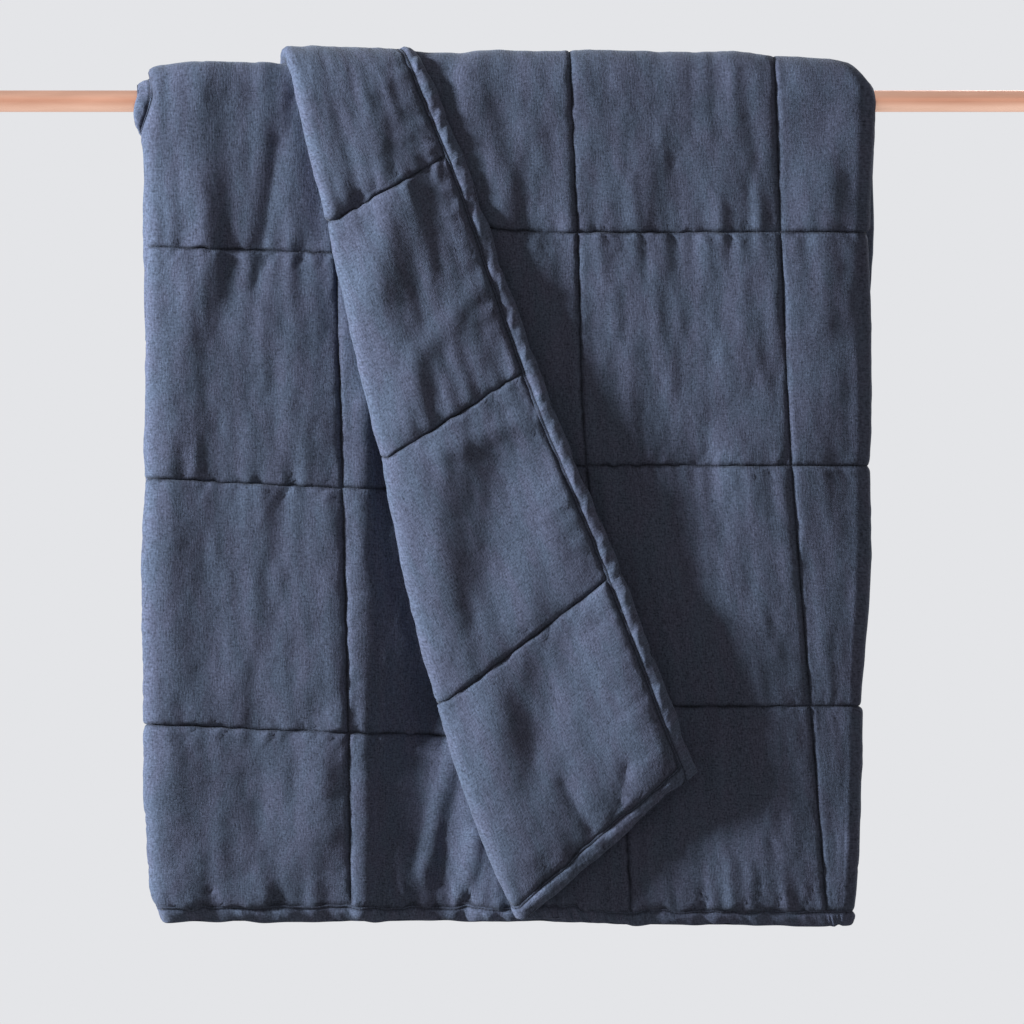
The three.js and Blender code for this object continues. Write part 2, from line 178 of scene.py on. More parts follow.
LAST_ROW = 7
LAST_COLUMN = 7
column_pitch, row_pitch = 212, 243
binding_width = 16

# Stations across the cloth, from the under layer's free edge to the flap's bound edge, and the
# quilting column that each one stands at.
tuck_length = 46
station_columns = {
    "free_edge": 0, "tucked": tuck_length / column_pitch, "one": 1, "two": 2, "three": 3,
    "turn_in": 3.52, "turn_out": 3.63, "four": 4, "five": 5, "six": 6, "fold_in": 6.1,
    "fold_out": 6.2, "sewn": 7 - binding_width / column_pitch, "bound_edge": 7,
}
station_names = list(station_columns)
LAST_STATION = len(station_names) - 1
station_of = {name: number for number, name in enumerate(station_names)}

loft, layer_gap = 12.4, 2.2
bunched = {"under": 15.5, "upper": -3.5, "flap": -9.2}
rod_radius = 11.1
clear_of_rod, seated_on_rod = 2.5, 0.5

# Soft ridges of the hanging cloth: where each starts and ends (across from the throw's middle, and down
# from the rod), its width, its height, or a negative one for a valley, and the layer that it lies in.
ridges = [
    ((60, 330), (150, 640), 60, 7, "all"),
    ((250, -300), (180, -760), 80, 6, "all"),
    ((-60, -360), (-20, -760), 70, 5, "all"),
    # The under layer: its rounded left side, the slope down to the flap, and the folds beside it.
    ((-325, -20), (-318, 190), 26, 5, "under"),
    ((-346, 250), (-350, 830), 24, 4, "under"),
    ((-346, -250), (-350, -800), 24, 4, "under"),
    ((-240, 40), (-262, 190), 9, -2.2, "under"),
    ((-222, 60), (-214, 130), 14, 1.6, "under"),
    ((-290, 170), (-296, 240), 10, -1.4, "under"),
    ((-190, 420), (-188, 600), 28, 3, "under"),
    ((-190, 650), (-190, 745), 26, 4, "under"),
    ((-262, 700), (-258, 790), 20, -3, "under"),
    ((-152, 310), (-153, 830), 12, 3.4, "under"),
    ((-108, 350), (-78, 600), 46, -11.5, "under"),
    ((-82, 650), (-78, 860), 54, -15.5, "under"),
    ((-58, 657), (-90, 796), 10, 4, "under"),
    ((-37, 755), (-49, 811), 8, 3.5, "under"),
    # The upper layer, beside the flap's edge and down its right side.
    ((-43, -20), (-7, 122), 18, 3, "upper"),
    ((374, 0), (366, 840), 44, -1.8, "upper"),
    ((322, 60), (318, 230), 16, 1.6, "upper"),
    ((300, 250), (304, 400), 34, 1.5, "upper"),
    ((56, 0), (66, 110), 58, 4, "upper"),
    ((290, 210), (302, 700), 90, 6, "upper"),
    ((246, 380), (258, 640), 40, 4, "upper"),
    # The flap: its rounded fold, and soft folds that slant down across its cells.
    ((-148, 0), (-128, 75), 12, 2, "flap"),
    ((-166, 112), (-136, 92), 9, -4, "flap"),
    ((-112, 92), (-141, 195), 24, 5.5, "flap"),
    ((-138, 200), (-112, 330), 26, 2, "flap"),
    ((-84, 251), (-17, 179), 11, 2.2, "flap"),
    ((-95, 262), (-98, 330), 12, 2.5, "flap"),
    ((-72, 362), (30, 322), 10, 2.6, "flap"),
    ((-90, 400), (-62, 560), 28, 3, "flap"),
    ((-12, 392), (-34, 520), 34, -6.5, "flap"),
    ((62, 400), (30, 560), 30, 4, "flap"),
    ((-10, 650), (15, 770), 30, 5, "flap"),
    ((38, 560), (14, 700), 30, -5.5, "flap"),
    ((118, 530), (150, 680), 42, 10, "flap"),
    ((52, 700), (80, 748), 8, -3, "flap"),
    ((118, 680), (112, 722), 7, -3, "flap"),
]


def mix(a, b, t):
    return a + (b - a) * t


def smooth(low, high, value):
    t = np.clip((value - low) / (high - low), 0, 1)
    return t * t * (3 - 2 * t)


def at_row(column, row):
    """A table column's value at any row position, on a smooth curve through its entries."""
    entries = np.array(seam_rows[column], float)
    before, after = 2 * entries[0] - entries[1], 2 * entries[-1] - entries[-2]
    entries = np.concatenate([[before], entries, [after]])
    start = np.clip(np.floor(row).astype(int), 0, LAST_ROW - 1)
    a, b, c, d = (entries[start + offset] for offset in range(4))
    t = row - start
    curve = b + 0.5 * t * (c - a + t * (2 * a - 5 * b + 4 * c - d + t * (3 * (b - c) + d - a)))
    return np.where(t < 0, mix(b, c, t), np.where(t > 1, c + (c - b) * (t - 1), curve))


def layer_shares(station):
    """How far each place across the cloth belongs to each layer, from 0 to 1."""
    past_turn = smooth(station_of["turn_in"] - 0.6, station_of["turn_in"] + 0.4, station)
    flap = smooth(station_of["fold_in"], station_of["fold_out"], station)
    return {"under": 1 - past_turn, "upper": past_turn - flap, "flap": flap, "all": 1}


def over_rod(drop):
    """0 on the front and back, and 1 at the rod's top."""
    return np.sin(np.clip(-drop / BEND, 0, 1) * np.pi) ** 2


def layers_at(drop):
    """Each layer's thickness, and the distance of its middle from the rod's axis."""
    top = over_rod(drop)
    inside = rod_radius + mix(clear_of_rod, seated_on_rod, top)
    under, upper, flap = (loft + bunched[layer] * top for layer in ("under", "upper", "flap"))
    return {
        "under": (inside + under / 2, under),
        "upper": (inside + under + layer_gap + upper / 2, upper),
        "flap": (inside + under + upper + 2 * layer_gap + flap / 2, flap),
    }


def drape(station, x, drop):
    """How far the ridges and valleys move the cloth off its plain path."""
    height = np.zeros_like(x)
    share = layer_shares(station)
    for (x0, drop0), (x1, drop1), width, rise, layer in ridges:
        along_x, along_drop = x1 - x0, drop1 - drop0
        t = ((x - x0) * along_x + (drop - drop0) * along_drop) / (along_x ** 2 + along_drop ** 2)
        t = np.clip(t, 0, 1)
        away = np.hypot(x - x0 - t * along_x, drop - drop0 - t * along_drop)
        height += share[layer] * rise * np.exp(-((away / width) ** 2))
    return height


def half_turn(x, side, drop, inner, outer, t):
    """A fold: half a turn from one layer to the next one out, to the right (1) or left (-1)."""
    radius = (outer[0] - inner[0]) / 2
    distance = (outer[0] + inner[0]) / 2 - radius * np.cos(t * np.pi)
    thickness = np.minimum(mix(inner[1], outer[1], t), 1.6 * radius)
    return x + side * radius * np.sin(t * np.pi), drop, distance, thickness


# The free edge lies thin and flat against the rod. Below it the edge is tucked under in a half
# turn, so that its binding lies hidden behind the under layer.
tuck_radius, tuck_setback, tuck_pull, short_tuck = 8.5, 11.5, 1.5, 20
hugging_distance = rod_radius + 4.4
hem_rise = 10

# The throw is drawn in over the rod at the right, where its layers also lie thinner, and its left
# corners are rounded. The flap is pressed down at the top and stands off the cloth lower down.
# A pair is the two drops, or distances across, between which such a change sets in.
corner_pull, corner_round, corner_rows = 24, 9, 0.16
corner_squeeze, squeeze_across = 0.34, (200, 400)
flap_pressed, flap_lifted, lift_drops = -4, 7, (30, 320)
flap_loose, loose_drops = 7.5, (20, 200)


def tuck_share(drop):
    """0 where the free edge lies on the rod, and 1 where it is wholly tucked under."""
    return smooth(-8, 66, np.maximum(drop, -drop - BEND))


def tuck_size(row):
    """The length of cloth that is tucked under."""
    return mix(short_tuck, tuck_length, tuck_share(at_row("under", row)))


def tucked_edge(x, drop, distance, thickness, t, row):
    """The free edge, rolled under from where the under layer ends. It rises a little at a hem."""
    share = tuck_share(drop)
    run = tuck_size(row) * (1 - t)
    turning = np.maximum(share, 0.002) / tuck_radius
    turned = turning * np.minimum(run, np.pi * tuck_radius)
    straight = np.maximum(run - np.pi * tuck_radius, 0)
    x = x - np.sin(turned) / turning - np.cos(turned) * straight
    distance = distance - (1 - np.cos(turned)) / turning - np.sin(turned) * straight
    hugging = (1 - share) * smooth(0, 14, run)
    at_hem = 1 - smooth(0, 0.4, row) - smooth(LAST_ROW - 0.4, LAST_ROW, row)
    rise = hem_rise * smooth(4, 30, run) * at_hem
    return x, drop - rise, mix(distance, hugging_distance, hugging), thickness


def locate_stretch(name, t, row):
    """Where the cloth's middle lies on one stretch between stations: its x, its drop, its
    distance from the rod's axis, and the cloth's thickness there."""
    rounded = 1 - smooth(0, corner_rows, row) + smooth(LAST_ROW - corner_rows, LAST_ROW, row)
    left = at_row("left", row) + corner_round * rounded

    def under_drop(x):
        return at_row("under", row) + at_row("tilt", row) * (x - left)

    tuck_x = left + tuck_setback - tuck_pull * over_rod(under_drop(0))
    if name == "free_edge":
        drop = under_drop(tuck_x)
        return tucked_edge(tuck_x, drop, *layers_at(drop)["under"], t, row)
    upper_drop = at_row("upper", row)
    turn = layers_at(upper_drop)
    turn_reach = (turn["upper"][0] - turn["under"][0] + turn["upper"][1]) / 2
    turn_x = at_row("right", row) - corner_pull * over_rod(upper_drop) - turn_reach
    if name in ("tucked", "one", "two", "three"):
        low = tuck_x if name == "tucked" else at_row(name, row)
        high = turn_x if name == "three" else at_row(station_names[station_of[name] + 1], row)
        x = mix(low, high, t)
        drop = mix(under_drop(x), upper_drop, smooth(0.5, 1, t if name == "three" else 0 * t))
        return x, drop, *layers_at(drop)["under"]
    if name == "turn_in":
        return half_turn(turn_x, 1, upper_drop, turn["under"], turn["upper"], t)
    fold_drop = at_row("fold_drop", row)
    fold = layers_at(fold_drop)
    fold_reach = (fold["flap"][0] - fold["upper"][0] + fold["flap"][1]) / 2
    fold_x = at_row("fold_x", row) + fold_reach
    four, five, six = (at_row(seam, row) for seam in ("four", "five", "six"))
    upper_stretches = {
        "turn_out": (turn_x, four, upper_drop, upper_drop),
        "four": (four, five, upper_drop, upper_drop),
        "five": (five, six, upper_drop, fold_drop),
        "six": (six, fold_x, fold_drop, fold_drop),
    }
    if name in upper_stretches:
        from_x, to_x, from_drop, to_drop = upper_stretches[name]
        drop = mix(from_drop, to_drop, smooth(0, 1, t))
        return mix(from_x, to_x, t), drop, *layers_at(drop)["upper"]
    if name == "fold_in":
        return half_turn(fold_x, -1, fold_drop, fold["upper"], fold["flap"], t)
    edge_x, edge_drop = at_row("edge_x", row), at_row("edge_drop", row)
    sewn = 1 - binding_width / np.hypot(edge_x - fold_x, edge_drop - fold_drop)
    out = t * sewn if name == "fold_out" else mix(sewn, 1, t)
    drop = mix(fold_drop, edge_drop, out)
    distance, thickness = layers_at(drop)["flap"]
    lift = mix(flap_pressed, flap_lifted, smooth(*lift_drops, drop)) * out ** 2
    lift = lift + flap_loose * np.sin(np.pi * out ** 0.7) * smooth(*loose_drops, drop)
    return mix(fold_x, edge_x, out), drop, distance + lift, thickness


def locate(station, row):
    """The x, drop, distance and thickness of locate_stretch, for stations anywhere."""
    station, row = np.broadcast_arrays(np.asarray(station, float), np.asarray(row, float))
    stretch = np.clip(np.floor(station).astype(int), 0, LAST_STATION - 1)
    found = np.zeros((4,) + station.shape)
    for number in np.unique(stretch):
        here = stretch == number
        found[:, here] = locate_stretch(station_names[number], (station - number)[here], row[here])

    # The layers lie thinner over the rod towards the right side, where nothing bunches them.
    x, drop, distance, thickness = found
    squeeze = 1 - corner_squeeze * over_rod(drop) * smooth(*squeeze_across, x)
    seat = rod_radius + seated_on_rod
    return np.stack([x, drop, seat + (distance - seat) * squeeze, thickness * squeeze])


# The hems curl back and ripple, less on the flap. The front hem also pulls the cloth above it up
# and down, and the seams wander a little. The cloth is held still where it turns at the right.
hem_curl, hem_ripple, curled_rows, flap_curl = 8, 3.4, 0.1, 0.25
hem_pull, drop_wander, x_wander = 2.6, 1.2, 0.7
held_from, held, held_to, loose_again = 690, 740, 850, 900


def place(station, row):
    """The cloth's middle, in millimetres from the middle of the rod."""
    x, drop, distance, _ = locate(station, row)
    run, fall = column_at(station) * column_pitch, row * row_pitch
    loose = smooth(tuck_length, 1.5 * tuck_length, run)
    loose = loose * (1 - smooth(held_from, held, run) + smooth(held_to, loose_again, run))
    curl = 1 - smooth(0, curled_rows, row) + smooth(LAST_ROW - curled_rows, LAST_ROW, row)
    curl = curl * (1 - (1 - flap_curl) * layer_shares(station)["flap"])
    curled = (hem_curl + hem_ripple * loose * noise(run / 14, 0 * run, 61)) * curl
    out = distance + drape(station, x, drop) - curled
    above_hem = smooth(0, 0.06, row) * (1 - smooth(0.07, 0.25, row))
    pulled = hem_pull * noise(run / 16, 0 * run, 62) * above_hem
    drop = drop + loose * (pulled + drop_wander * noise(run / 8, fall / 40, 63) * (1 - curl))
    x = x + x_wander * loose * noise(fall / 12, run / 50, 64)
    angle = np.clip(-drop / BEND, 0, 1) * np.pi
    z = out * np.sin(angle) - np.maximum(drop, 0) + np.minimum(drop + BEND, 0)
    return np.stack([x, -out * np.cos(angle), z], -1)


slope_step = 0.01


def slopes(station, row):
    """How the cloth's middle moves for one station and for one row."""
    across = place(station + slope_step, row) - place(station - slope_step, row)
    along = place(station, row + slope_step) - place(station, row - slope_step)
    return across / (2 * slope_step), along / (2 * slope_step)


def outward(station, row):
    """The way that the cloth faces, away from the rod on the under layer."""
    across, along = slopes(station, row)
    normal = np.cross(across, along)
    return normal / np.linalg.norm(normal, axis=-1, keepdims=True)


def column_at(station):
    return np.interp(station, range(LAST_STATION + 1), list(station_columns.values()))


def station_at(column):
    return np.interp(column, list(station_columns.values()), range(LAST_STATION + 1))


def noise(x, y, seed):
    """Smooth random heights from -1 to 1, with features about one unit across."""
    lattice = np.random.default_rng(seed).uniform(-1, 1, (128, 128))
    xi, yi = np.floor(x).astype(int), np.floor(y).astype(int)
    fx, fy = smooth(0, 1, x - xi), smooth(0, 1, y - yi)
    near = mix(lattice[xi % 128, yi % 128], lattice[(xi + 1) % 128, yi % 128], fx)
    far = mix(lattice[xi % 128, (yi + 1) % 128], lattice[(xi + 1) % 128, (yi + 1) % 128], fx)
    return mix(near, far, fy)


def seam_distances(station, row):
    """Real distances in from the nearest column seam and row seam, or binding, and which they
    are. The last is how wide the cloth lies here, with 1 for its flat width."""
    across, along = slopes(station, row)
    columns = (column_at(station + slope_step) - column_at(station - slope_step)) / (2 * slope_step)
    wide = np.linalg.norm(across, axis=-1) / (np.maximum(columns, 0.02) * column_pitch)
    long = np.linalg.norm(along, axis=-1) / row_pitch
    column = column_at(station)
    column_seam = np.clip(np.round(column), 0, LAST_COLUMN)
    to_column = np.abs(column - column_seam) * column_pitch * wide
    tucked, sewn = station_of["tucked"], station_of["sewn"]
    past_tuck = (column - column_at(tucked)) * column_pitch * wide
    from_free = np.where(station < tucked, station * tuck_size(row), tuck_size(row) + past_tuck)
    before_sewn = (column_at(sewn) - column) * column_pitch * wide
    from_bound = np.where(station > sewn, (sewn - station) * binding_width, before_sewn)
    to_column = np.where(column_seam == 0, from_free - binding_width, to_column)
    to_column = np.where(column_seam == LAST_COLUMN, from_bound, to_column)
    row_seam = np.clip(np.round(row), 0, LAST_ROW)
    to_row = np.abs(row - row_seam) * row_pitch * long
    to_row = to_row - np.where((row_seam == 0) | (row_seam == LAST_ROW), binding_width, 0)
    return to_column, column_seam, to_row, row_seam, wide


# The quilt is pressed thin at its seams and under its bindings. Between them the filling lifts
# each linen, most of it steeply beside the stitches.
seam_half, edge_half = 0.9, 1.5
steep_share, slow_rise = 0.55, 32
steep_reach, column_change, row_change = 6.5, 3, 3.5
shown_crown, hidden_relief = 1.4, 0.2

# Beside each kind of seam: the height of its soft pleats and the distance in which they die away
# into the cell, and then the same for its pinched creases. Each wrinkle of the washed linen has
# its height, its size across the cloth and down it, and a seed.
puckers = {
    "row": (1.8, 34, 3, 12),
    "hem": (1.8, 34, 4, 20),
    "column": (0.7, 26, 0.8, 22),
    "bound_edge": (1.4, 26, 2.2, 22),
}
wrinkles = [(1.1, 19, 95, 3), (1.5, 45, 60, 8), (0.65, 11, 30, 4), (0.3, 5.5, 9, 5)]


def pillow(distance, reach):
    """How far the filling pushes the linen out at a distance from a seam: up steeply beside the
    stitches, like the side of a pillow, and then slowly to the middle of the cell."""
    steep = np.sqrt(1 - (1 - np.clip(distance / reach, 0, 1)) ** 2)
    return mix(1 - np.exp(-np.maximum(distance, 0) / slow_rise), steep, steep_share)


def shows(station, side):
    """1 where a linen faces away from the rod, and 0 where it is hidden against another layer."""
    turned = layer_shares(station)["upper"]
    return turned if side < 0 else 1 - turned


def creased(along, line, sharpness, seed):
    """1 in the middle of each crease that crosses a seam, and 0 between the creases."""
    return np.clip(1 - sharpness * np.abs(noise(along, line, seed)), 0, 1)


def puckered(pleats, creases, away, at_edge, edge, inner):
    """How far a seam's pleats rise and its creases sink, at a distance away from it."""
    sizes = (np.where(at_edge, *pair) for pair in zip(puckers[edge], puckers[inner]))
    rise, rise_reach, sink, sink_reach = sizes
    return rise * pleats * np.exp(-away / rise_reach) - sink * creases * np.exp(-away / sink_reach)


def skin_height(station, row, side):
    """How far one linen lies off the cloth's middle: 1 is the back linen, which shows on the
    under layer and the flap, and -1 the face linen, which shows on the upper layer."""
    _, drop, _, thickness = locate(station, row)
    column = column_at(station)
    x, y = column * column_pitch, row * row_pitch
    to_column, column_seam, to_row, row_seam, wide = seam_distances(station, row)
    beyond_column, beyond_row = np.sign(column - column_seam), np.sign(row - row_seam)
    column_reach = steep_reach + column_change * noise(y / 13, column_seam * 3.3 + beyond_column, 31)
    row_reach = steep_reach + row_change * noise(x / 13, row_seam * 3.3 + beyond_row, 32)
    shape, outer = pillow(to_column, column_reach) * pillow(to_row, row_reach), shows(station, side)
    seam = seam_half + 0.2 * (thickness - 2 * seam_half) * over_rod(drop)
    height = mix(seam, thickness / 2 + shown_crown * outer, shape)

    # Puckers stand at right angles to each seam, and the creases slant a little. The two linens,
    # and the two sides of a seam, pucker differently.
    seed = 10 if side > 0 else 20
    from_row, from_column = np.maximum(to_row, 0), np.maximum(to_column, 0)
    at_hem, at_bound_edge = row_seam % LAST_ROW == 0, column_seam % LAST_COLUMN == 0
    line = row_seam * 7.3 + np.where(row > row_seam, 3.1, 0)
    pleats = noise(x / 10, line + from_row / 160, seed)
    pleats = pleats + 0.9 * noise(x / 23, line + from_row / 240, seed + 1)
    creases = creased((x + 0.6 * from_row) / 13, line, 9, seed + 6)
    relief = puckered(pleats, creases, from_row, at_hem, "hem", "row")
    line = column_seam * 5.7 + np.where(column > column_seam, 2.3, 0)
    pleats = noise(y / 11, line + from_column / 160, seed + 2)
    creases = creased((y - 0.6 * from_column) / 17, line, 8, seed + 7)
    relief += puckered(pleats, creases, from_column, at_bound_edge, "bound_edge", "column")
    for wrinkle_height, across, down, wrinkle_seed in wrinkles:
        relief += wrinkle_height * noise(x / across, y / down, seed + wrinkle_seed)
    near = 1 - np.exp(-np.minimum(from_row, from_column) / 2.2)
    height += near * relief * mix(hidden_relief, 1, outer) * np.clip(wide, 0.2, 1)
    under_binding = np.minimum(to_column, to_row) < 0
    return np.where(under_binding, edge_half, np.maximum(height, seam_half))


def in_metres(points):
    """Points in the frame's own place and unit."""
    return points * MM + np.array([middle_x, 0, 0])


def skin(station, row, side):
    """Points of one linen, in metres."""
    height = skin_height(station, row, side)[..., None]
    return in_metres(place(station, row) + outward(station, row) * height * side)


beside_seam = np.array([0, 0.6, 1.5, 2.8, 4.6, 7, 10.2, 14.2])


def lines_between(start, end, step):
    """Line positions from one seam to the next, in millimetres of cloth, close together beside
    the seams."""
    before, after = start + beside_seam, end - beside_seam[::-1]
    count = max(int(np.ceil((after[0] - before[-1]) / step)), 1)
    between = np.linspace(before[-1], after[0], count + 1)[1:-1]
    return np.concatenate([before, between, after])


def cloth_lines(pitch, steps):
    """Lines over the whole cloth: one step for each cell, closer beside every seam, and two
    lines under each binding."""
    last = len(steps)
    parts = [np.array([0, binding_width / 2])]
    for cell, step in enumerate(steps):
        start = cell * pitch + (binding_width if cell == 0 else 0)
        end = (cell + 1) * pitch - (binding_width if cell == last - 1 else 0)
        parts.append(lines_between(start, end, step))
    parts.append(np.array([last * pitch - binding_width / 2, last * pitch]))
    return np.unique(np.concatenate(parts).round(4)) / pitch


def cloth_piece(name, points, faces, cloth, groove_shade_mask):
    """A smooth piece of cloth, with its own lengths in metres as its UV map, and a mask of painted
    shade: how deep in a stitched groove each point lies, which darkens its colour."""
    mesh = bpy.data.meshes.new(name)
    mesh.from_pydata(points.reshape(-1, 3).tolist(), [], faces)
    uv = mesh.uv_layers.new(name="cloth")
    corners = np.array([vertex for face in faces for vertex in face])
    uv.data.foreach_set("uv", (cloth.reshape(-1, 2)[corners] * MM).ravel().astype(np.float32))
    mark = mesh.attributes.new("groove_shade_mask", "FLOAT", "POINT")
    mark.data.foreach_set("value", groove_shade_mask.ravel().astype(np.float32))
    mesh.shade_smooth()
    return add_object(name, mesh)


# How far the lines stand apart in each cell. The first four rows are at the front and over the
# rod. Each linen's columns are dense where it shows, and its map is measured from a seam there.
row_steps = [4.9, 4.9, 4.9, 4.9, 14, 14, 14]
skins = {
    "quilt_back_linen": {"side": 1, "steps": [3.5, 3.5, 5, 40, 40, 40, 4.4], "measured_from": (1, 7)},
    "quilt_face_linen": {"side": -1, "steps": [60, 60, 60, 5, 3.5, 3.5, 16], "measured_from": (5, 5)},
}
# How far the painted shade of a stitched groove reaches from its seam, in millimetres.
groove_shade_width = 2.0


def quilt_skin(name, side, steps, measured_from):
    columns, rows = cloth_lines(column_pitch, steps), cloth_lines(row_pitch, row_steps)
    station, row = np.meshgrid(station_at(columns), rows)
    points = skin(station, row, side)
    high, wide = station.shape
    corner = (np.arange(high - 1)[:, None] * wide + np.arange(wide - 1)).ravel()
    faces = np.stack([corner, corner + 1, corner + wide + 1, corner + wide], -1)
    middle = place(station, row)
    run = np.linalg.norm(np.diff(middle, axis=1, prepend=middle[:, :1]), axis=-1).cumsum(1)
    at_seam = {seam: run[:, [np.abs(columns - seam).argmin()]] for seam in measured_from}
    under, outer = (run - at_seam[seam] + seam * column_pitch for seam in measured_from)
    across = np.where(columns < station_columns["turn_in"], under, outer)
    to_column, _, to_row, _, _ = seam_distances(station, row)
    # Painted shade: a mask that darkens the linen's colour beside each seam, for a groove deeper and
    # narrower than the mesh, uneven along it.
    groove_shade_mask = np.exp(-(np.maximum(np.minimum(to_column, to_row), 0) / groove_shade_width) ** 2)
    groove_shade_mask *= 0.8 + 0.35 * noise(station_at(columns) * 20 + 0 * row, row * 26, 33)
    piece = cloth_piece(name, points, faces.tolist(), np.stack([across, row * row_pitch], -1), groove_shade_mask)
    if side < 0:
        piece.data.flip_normals()
    return piece


back_linen, face_linen = (quilt_skin(name, **made) for name, made in skins.items())


def weave_group():
    """Threads of a plain linen weave on a cloth's own map. Slubs are the thick places that run
    down the warp. The shade goes from dark to light, and the cast from one tint to another."""
    group = bpy.data.node_groups.new("linen_weave", "ShaderNodeTree")
    socket = group.interface.new_socket
    socket("Cloth", in_out="INPUT", socket_type="NodeSocketVector")
    for name, value in (("Threads per metre", 1400.0), ("Slub width", 640.0), ("Slub length", 150.0)):
        made = socket(name, in_out="INPUT", socket_type="NodeSocketFloat")
        made.default_value = value
    for name in ("Height", "Shade", "Cast"):
        socket(name, in_out="OUTPUT", socket_type="NodeSocketFloat")
    nodes, links = group.nodes, group.links
    given, out = nodes.new("NodeGroupInput"), nodes.new("NodeGroupOutput")

    def stretched(across, along, seed):
        """Noise with so many features per metre across and along the cloth."""
        size = nodes.new("ShaderNodeCombineXYZ")
        for socket_name, source in (("X", across), ("Y", along)):
            if isinstance(source, str):
                links.new(given.outputs[source], size.inputs[socket_name])
            else:
                size.inputs[socket_name].default_value = source
        size.inputs["Z"].default_value = 1.0
        scaled = nodes.new("ShaderNodeVectorMath")
        scaled.operation = "MULTIPLY"
        links.new(given.outputs["Cloth"], scaled.inputs[0])
        links.new(size.outputs[0], scaled.inputs[1])
        texture = nodes.new("ShaderNodeTexNoise")
        texture.noise_dimensions = "4D"
        set_inputs(texture, {"W": seed, "Scale": 1.0, "Detail": 2.0, "Roughness": 0.6})
        links.new(scaled.outputs[0], texture.inputs["Vector"])
        return texture.outputs["Fac"]

    def threads(axis):
        """An even ripple, with one thread in each wave."""
        split = nodes.new("ShaderNodeSeparateXYZ")
        links.new(given.outputs["Cloth"], split.inputs[0])
        turn = nodes.new("ShaderNodeMath")
        turn.operation = "MULTIPLY"
        links.new(split.outputs[axis], turn.inputs[0])
        links.new(given.outputs["Threads per metre"], turn.inputs[1])
        wave = nodes.new("ShaderNodeMath")
        wave.operation = "PINGPONG"
        wave.inputs[1].default_value = 0.5
        links.new(turn.outputs[0], wave.inputs[0])
        return wave.outputs[0]

    def total(parts):
        sum_so_far = None
        for source, weight in parts:
            weighed = nodes.new("ShaderNodeMath")
            weighed.operation = "MULTIPLY_ADD"
            links.new(source, weighed.inputs[0])
            weighed.inputs[1].default_value = weight
            if sum_so_far is None:
                weighed.inputs[2].default_value = 0.0
            else:
                links.new(sum_so_far, weighed.inputs[2])
            sum_so_far = weighed.outputs[0]
        return sum_so_far

    slubs = stretched("Slub width", "Slub length", 1.0)
    picks = stretched(170.0, 640.0, 5.0)
    grain = stretched(500.0, 450.0, 9.0)
    streaks = stretched(90.0, 7.0, 13.0)
    relief = [(slubs, 0.5), (picks, 0.3), (grain, 0.3), (threads("X"), 0.1), (threads("Y"), 0.1)]
    shades = [(slubs, 0.28), (picks, 0.22), (grain, 0.38), (streaks, 0.12)]
    links.new(total(relief), out.inputs["Height"])
    links.new(total(shades), out.inputs["Shade"])
    links.new(stretched(45.0, 16.0, 17.0), out.inputs["Cast"])
    return group


linen_weave = weave_group()
linen_tints = ((0.40, (0.0675, 0.0925, 0.147)), (0.60, (0.0735, 0.090, 0.147)))
linen_finish = {"Specular IOR Level": 0.15, "Sheen Weight": 0.12, "Sheen Roughness": 0.5,
                "Sheen Tint": (0.75, 0.85, 1.0, 1)}
thread_shades = {"From Min": 0.36, "From Max": 0.64, "To Min": 0.28, "To Max": 1.72}
# How much painted shade darkens the linen's colour at the bottom of a stitched groove.
painted_groove_shade = 0.66


def linen(name, brightness, roughness):
    """Washed linen: a matt, faintly fuzzy cloth whose threads vary from dark to light. Deep in its
    stitched grooves, where the thread pulls it tight, its colour is darkened: painted shade for grooves
    narrower and deeper than the mesh shows."""
    material = bpy.data.materials.new(name)
    material.use_nodes = True
    nodes, links = material.node_tree.nodes, material.node_tree.links
    surface = nodes["Principled BSDF"]
    set_inputs(surface, {"Roughness": roughness, **linen_finish})
    cloth_map = nodes.new("ShaderNodeUVMap")
    cloth_map.uv_map = "cloth"
    weave = nodes.new("ShaderNodeGroup")
    weave.node_tree = linen_weave
    links.new(cloth_map.outputs[0], weave.inputs["Cloth"])
    tint = nodes.new("ShaderNodeValToRGB")
    for stop, (position, colour) in zip(tint.color_ramp.elements, linen_tints):
        stop.position = position
        stop.color = (*[value * brightness for value in colour], 1)
    links.new(weave.outputs["Cast"], tint.inputs[0])
    shade = nodes.new("ShaderNodeMapRange")
    set_inputs(shade, thread_shades)
    links.new(weave.outputs["Shade"], shade.inputs["Value"])
    # Painted shade: the colour is darkened where the groove mask is high.
    groove_shade_mask = nodes.new("ShaderNodeAttribute")
    groove_shade_mask.attribute_name = "groove_shade_mask"
    groove_shade_factor, darkened = nodes.new("ShaderNodeMath"), nodes.new("ShaderNodeMath")
    groove_shade_factor.operation, darkened.operation = "MULTIPLY_ADD", "MULTIPLY"
    groove_shade_factor.inputs[1].default_value = -painted_groove_shade
    groove_shade_factor.inputs[2].default_value = 1.0
    links.new(groove_shade_mask.outputs["Fac"], groove_shade_factor.inputs[0])
    links.new(shade.outputs["Result"], darkened.inputs[0])
    links.new(groove_shade_factor.outputs[0], darkened.inputs[1])
    threads = nodes.new("ShaderNodeVectorMath")
    threads.operation = "SCALE"
    links.new(tint.outputs["Color"], threads.inputs[0])
    links.new(darkened.outputs[0], threads.inputs["Scale"])
    links.new(threads.outputs[0], surface.inputs["Base Color"])
    bump = nodes.new("ShaderNodeBump")
    set_inputs(bump, {"Strength": 0.5, "Distance": 0.0015})
    links.new(weave.outputs["Height"], bump.inputs["Height"])
    links.new(bump.outputs[0], surface.inputs["Normal"])
    return material


quilt_linen = linen("washed_slate_linen", 1.0, 0.92)
for piece in (back_linen, face_linen):
    piece.data.materials.append(quilt_linen)
    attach(piece, "root")
    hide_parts("quilt")
